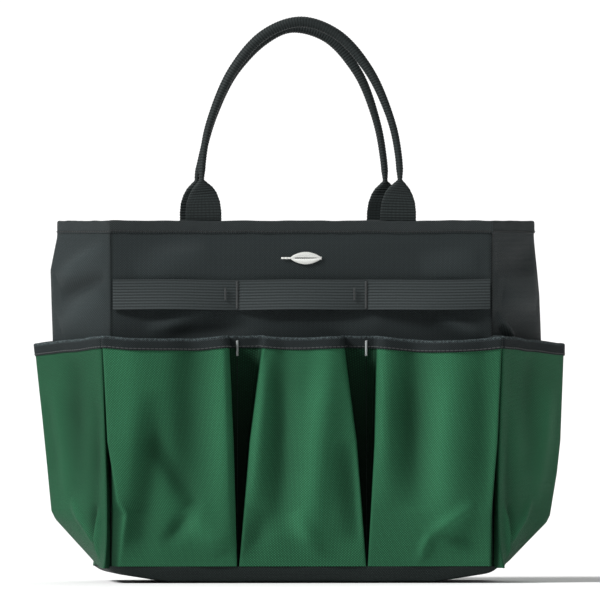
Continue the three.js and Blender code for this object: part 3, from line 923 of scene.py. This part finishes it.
# ---- base ----
def base_ring(z, inset):
    """The base's plan at one height: the body's outline, moved inwards."""
    t = np.linspace(-1, 1, 60, endpoint=False)[None, :]
    front = grid_points(t * HALF_FRONT, -HALF_DEPTH_BASE, z)[0]
    side = side_points(np.full((1, 1), BASE_TOP), t)[0]
    side[:, 2] = z
    half = np.concatenate([front, side])
    ring = np.concatenate([half, half_turn(half)])
    return ring - path_normals(ring, True) * inset


FLAT_REACH = 110  # the base lies flat this far from the bag's middle
END_SLOPE = 0.16  # how steeply it rises from there to its ends
FLOOR_LIFT = 0.88  # share of that rise which the board and lining follow


def end_lift(x):
    """How far the bag's floor curves up off the ground towards its two ends."""
    return END_SLOPE * np.clip(np.abs(x) - FLAT_REACH, 0, None)


def add_base():
    lip = BASE_TOP + 0.4
    profile = [(60, 0.0), (25, 0.0), (9, 0.0), (5, 0.4), (2, 1.6), (0, 3.4), (-2, 6.5),
               (-3.5, 9.5), (-4.6, 12.2), (-4.6, lip - 0.4), (-3.6, lip), (0.5, lip), (2, lip - 1.5),
               (3, 8), (5, 3), (9, 1.6), (25, 1.6), (60, 1.6)]
    rings = np.stack([base_ring(z, inset) for inset, z in profile])
    rings[:, :, :2] = soften(rings[:, :, :2], 2, looped=True)
    x, y = rings[..., 0], rings[..., 1]
    rings[..., 1] += np.sign(y) * 0.5 * rumple(x, rings[..., 2] * 4, 60, 51)
    rings[..., 2] += end_lift(x) * np.clip(1 - rings[..., 2] / BASE_TOP, 0, 1)
    piece = tube_piece("base_cloth", rings, BASE_CLOTH)
    finish_piece(piece, "bag", "charcoal_cloth", "base_panel")


def add_board():
    """The flexible board that keeps the floor flat, curved up a little with it."""
    low, high = BOARD_LOW[2], BOARD_HIGH[2]
    edge = HALF_DEPTH_BASE - BOARD_HIGH[1]
    profile = [(60, low), (25, low), (edge + 0.4, low), (edge, low + 0.4), (edge, high - 0.4),
               (edge + 0.4, high), (25, high), (60, high)]
    rings = np.stack([base_ring(z, inset) for inset, z in profile])
    rings[..., 2] += FLOOR_LIFT * end_lift(rings[..., 0])
    piece = tube_piece("base_board_sheet", rings, BOARD)
    finish_piece(piece, "bag", "base_board", "base_board")


def add_lining():
    low, high = LINING_LOW, LINING_HIGH
    y = np.linspace(low[1], high[1], 60)[:, None]
    x = np.linspace(-HALF_FRONT + 7, HALF_FRONT - 7, 110)[None, :]
    z = high[2] + 0.6 * rumple(x, y, 90, 61) + 0.25 * rumple(x, y, 30, 62)
    z = z + FLOOR_LIFT * end_lift(x)
    piece = sheet_piece("base_lining_cloth", grid_points(x, y, z), CLOTH, CHARCOAL)
    finish_piece(piece, "bag", "charcoal_cloth", "base_lining")


# ---- strap of tool loops ----
STRAP_SEAMS = (-HALF_FRONT + 2, -DIVIDER_X, DIVIDER_X, HALF_FRONT - 2)


def strap_bow(x, z):
    """How far the strap stands off the panel: each loop gapes at its lower edge."""
    bow = 0 * x
    for low, high in zip(STRAP_SEAMS, STRAP_SEAMS[1:]):
        share = np.clip((x - low) / (high - low), 0, 1)
        bow = bow + np.sin(math.pi * share) ** 0.9
    height = (z - STRAP_LOW[2]) / (STRAP_HIGH[2] - STRAP_LOW[2])
    return bow * (7.0 - 4.5 * height)


def add_strap():
    x = np.linspace(STRAP_SEAMS[0], STRAP_SEAMS[-1], 261)[None, :]
    z = np.linspace(STRAP_LOW[2], STRAP_HIGH[2], 61)[:, None]
    rib = 0.18 * np.cos(2 * math.pi * (z - STRAP_LOW[2]) / 2.5)
    y = -half_depth(z) - 2.4 - strap_bow(x, z) - rib
    z = z + 0.4 * rumple(x, 0 * z, 90, 81)
    piece = sheet_piece("tool_loop_webbing", grid_points(x, y, z), 1.3, STRAP_WEB)
    finish_piece(piece, "bag", "webbing", "tool_loop_strap")


# ---- bartacks and the leaf ----
def bar_tack(x, low, high, width, stand_off, side=-1):
    """Strands of a dense zigzag up a front seam (side -1) or a back one (side 1)."""
    pitch = 0.8
    z = np.arange(low, high, pitch)
    y = side * (half_depth(z) + stand_off)
    first = np.stack([np.full_like(z, x - width / 2), y, z], axis=1)
    last = np.stack([np.full_like(z, x + width / 2), y, z + pitch * 0.6], axis=1)
    outs = np.tile([0.0, side, 0.0], (len(z), 1))
    return first, last, outs


def add_bartacks():
    low, high = DIVIDER_LOW[2] + 0.5, DIVIDER_HIGH[2]
    for face, side in (("front", -1), ("back", 1)):
        for name, x in DIVIDERS.items():
            strands = bar_tack(x, low, high, 2.0, 2.7, side=side)
            piece = thread_piece(f"{face}_divider_zigzag_{name}", strands, 0.42, 0.25, PALE_THREAD)
            finish_piece(piece, "bag", "pale_thread", f"{face}_divider_bartack_{name}")
    for name, x in DIVIDERS.items():
        seam = bar_tack(x, STRAP_LOW[2] + 1, STRAP_HIGH[2] - 1, 2.2, 3.0)
        tack = bar_tack(x - 10, STRAP_LOW[2] + 8, STRAP_LOW[2] + 18, 1.6, 3.0 + 2.4)
        piece = thread_piece(f"strap_zigzag_{name}", joined(seam, tack), 0.4, 0.2, DARK_THREAD)
        finish_piece(piece, "bag", "webbing", f"strap_bartack_{name}")


def add_leaf():
    """A plain leaf in satin stitch: slanting strands each side of its midrib, and a stalk."""
    middle_z = (LEAF_LOW[2] + LEAF_HIGH[2]) / 2
    half_length, _, half_width = (LEAF_HIGH - LEAF_LOW) / 2
    blade = np.arange(-0.52, 0.96, 0.042)
    starts, ends = [], []
    for side in (-1, 1):
        for place in blade:
            reach = min(place + 0.16, 1.0)
            width = half_width * math.sin(math.pi * (reach + 0.55) / 1.55) ** 0.75
            starts.append((place * half_length, side * 0.35))
            ends.append((reach * half_length, side * max(width, 0.9)))
    for row in (-0.4, 0.4):
        for place in np.arange(-1.0, -0.45, 0.16):
            starts.append((place * half_length, row))
            ends.append(((place + 0.2) * half_length, row * 0.8))

    def on_panel(flat):
        x, up = np.array(flat).T
        z = middle_z + up
        return np.stack([x, -half_depth(z) - 1.5, z], axis=1)

    outs = np.tile([0.0, -1.0, 0.0], (len(starts), 1))
    strands = (on_panel(starts), on_panel(ends), outs)
    piece = thread_piece("leaf_embroidery", strands, 0.42, 0.3, LEAF_THREAD)
    finish_piece(piece, "bag", "pale_thread", "leaf_motif")


# ---- handles ----
# Middle lines of each grip's legs, as in the CAD model, from the tab up to the top of its arch.
# The back handle is built facing forwards and then turned round, so its legs change sides.
FRONT_LEG = ((83, 337.3), (81.5, 359), (76, 385), (58, 428), (31, 459))
FRONT_HANDLE = {"right": FRONT_LEG, "left": FRONT_LEG, "top": 469.9}
BACK_HANDLE = {
    "right": ((79.5, 337.9), (76.5, 352), (67.5, 386), (49.5, 428), (24, 456)),
    "left": ((79.5, 337.6), (78, 356), (72.7, 385), (57, 428.5), (31, 458.5)),
    "top": 467.0,
}
HANDLE_Y = (TAB_LOW[1] + TAB_HIGH[1]) / 2
# How a handle's section changes with height: half its width, half its depth, and how round it is
# (1 for an ellipse, less for a flatter and squarer section).
HALF_WIDE = ((ANCHOR_FOOT, 15.0), (310, 15.0), (318, 14.0), (325, 11.6), (330, 8.6), (334, 4.6),
             (336.6, 1.9), (340, 2.3), (345, 2.9), (390, 3.2), (440, 4.3), (500, 4.6))
HALF_DEEP = ((ANCHOR_FOOT, 0.8), (312, 0.9), (325, 1.6), (336, 5.0), (345, 5.4), (500, 5.4))
ROUNDNESS = ((ANCHOR_FOOT, 0.25), (316, 0.3), (334, 0.8), (343, 1.0), (500, 1.0))
GRIP_HALF_WIDTH = 3.2  # what is more than this lies on the inside of the arch


def between(a, b, knot_a, knot_b, t):
    """The point at t on the line that passes a at knot_a and b at knot_b."""
    share = (t - knot_a) / (knot_b - knot_a)
    return a * (1 - share) + b * share


def smooth_route(points, count):
    """A centripetal Catmull-Rom curve through points, sampled evenly."""
    keys = np.array(points, float)
    padded = np.concatenate([2 * keys[:1] - keys[1:2], keys, 2 * keys[-1:] - keys[-2:-1]])
    samples = []
    for a, b, c, d in zip(padded, padded[1:], padded[2:], padded[3:]):
        chords = [math.dist(*pair) ** 0.5 for pair in ((a, b), (b, c), (c, d))]
        k0, k1, k2, k3 = running_total(chords)
        t = np.linspace(k1, k2, 40, endpoint=False)[:, None]
        ab = between(a, b, k0, k1, t)
        bc = between(b, c, k1, k2, t)
        cd = between(c, d, k2, k3, t)
        abc = between(ab, bc, k0, k2, t)
        bcd = between(bc, cd, k1, k3, t)
        samples.append(between(abc, bcd, k1, k2, t))
    line = np.concatenate(samples + [keys[-1:]])
    length = distance_along(line)
    even = np.linspace(0, length[-1], count)
    return np.stack([np.interp(even, length, line[:, i]) for i in range(line.shape[1])], axis=1)


def handle_sections(handle, tab_x):
    """Closed sections of one handle, from its left anchor over the grip to its right one."""
    flat_end = [(tab_x, ANCHOR_FOOT), (tab_x, 275), (tab_x, 305), (tab_x + 0.4, 322)]
    right = flat_end + list(handle["right"])
    left = [(-x, z) for x, z in flat_end + list(handle["left"])]
    route = smooth_route(left + [(0, handle["top"])] + right[::-1], 900)
    x, z = route[:, 0], route[:, 1]
    anchor_y = -half_depth(z) + HANDLE_Y + HALF_DEPTH_RIM
    y = np.where(z < RIM_TOP, anchor_y, HANDLE_Y)
    tangent = np.gradient(route, axis=0)
    tangent /= np.linalg.norm(tangent, axis=1, keepdims=True)
    side = np.stack([tangent[:, 1], -tangent[:, 0]], axis=1)
    half_wide = value_at(HALF_WIDE, z)
    inwards = np.where(z > RIM_TOP + 50, np.maximum(half_wide - GRIP_HALF_WIDTH, 0), 0)
    x, z = x + side[:, 0] * inwards, z + side[:, 1] * inwards
    half_deep = value_at(HALF_DEEP, z)
    power = value_at(ROUNDNESS, z)
    rib = 0.12 * np.cos(2 * math.pi * distance_along(route) / RIB_PITCH)

    def spread(wave, half):
        return np.sign(wave) * np.abs(wave) ** power[:, None] * (half + rib)[:, None]

    angle = np.linspace(0, 2 * math.pi, 36, endpoint=False)
    across = spread(np.cos(angle), half_wide)
    through = spread(np.sin(angle), half_deep)
    return np.stack([x[:, None] + across * side[:, :1], y[:, None] + through,
                     z[:, None] + across * side[:, 1:]], axis=2)


def box_stitch(x):
    """A stitched rectangle with its diagonals, on the inner face of one front anchor."""
    half, low, high = 11.5, ANCHOR_FOOT + 3, RIM_TOP - TAPE_DROP - 3
    corners = [(-half, low), (half, low), (half, high), (-half, high), (-half, low), (half, high),
               (half, low), (-half, high)]
    runs = []
    for (ax, az), (bx, bz) in zip(corners, corners[1:]):
        flat = np.linspace((x + ax, az), (x + bx, bz), 12)
        y = -half_depth(flat[:, 1]) + HANDLE_Y + HALF_DEPTH_RIM + 1.0
        path = np.stack([flat[:, 0], y, flat[:, 1]], axis=1)
        runs.append(stitch_run(path, np.tile([0.0, 1.0, 0.0], (12, 1)), 2.8, 0.5))
    return joined(*runs)


def add_handle(name, handle, turn):
    low, high = box_mm(f"{name}_tab_right")
    tab_x = abs(low[0] + high[0]) / 2
    sections = handle_sections(handle, tab_x)
    stitches = joined(box_stitch(-tab_x), box_stitch(tab_x))
    if turn:
        sections = half_turn(sections)
        stitches = [half_turn(part) for part in stitches]
    piece = tube_piece(f"{name}_webbing", sections, HANDLE_WEB)
    parts = ("tab_left", "tab_right", "anchor_left", "anchor_right", "grip")
    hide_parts(*[f"{name}_{part}" for part in parts])
    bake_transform(piece)
    thread = thread_piece(f"{name}_box_stitch", stitches, 0.32, 0.15, DARK_THREAD)
    finish_piece(thread, "bag", "webbing")


# ---- assembly ----
def paint_kept_nodes():
    """CAD nodes that stay get a detailed material in place of their plain one."""
    for node in ("front_handle_core", "back_handle_core"):
        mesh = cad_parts[node].data
        mesh.materials.clear()
        mesh.materials.append(CORE)


add_camera()
add_surroundings()
add_floor()
add_walls()
add_tape("rim_tape", rim_cloth(), 2.0, RIM_TAPE, RIM_THREAD_AS_SHADOW, 3, "rim_binding", looped=True)
add_corner_tapes()
add_pockets()
add_base()
add_board()
add_lining()
add_strap()
add_bartacks()
add_leaf()
add_handle("front_handle", FRONT_HANDLE, False)
add_handle("back_handle", BACK_HANDLE, True)
paint_kept_nodes()
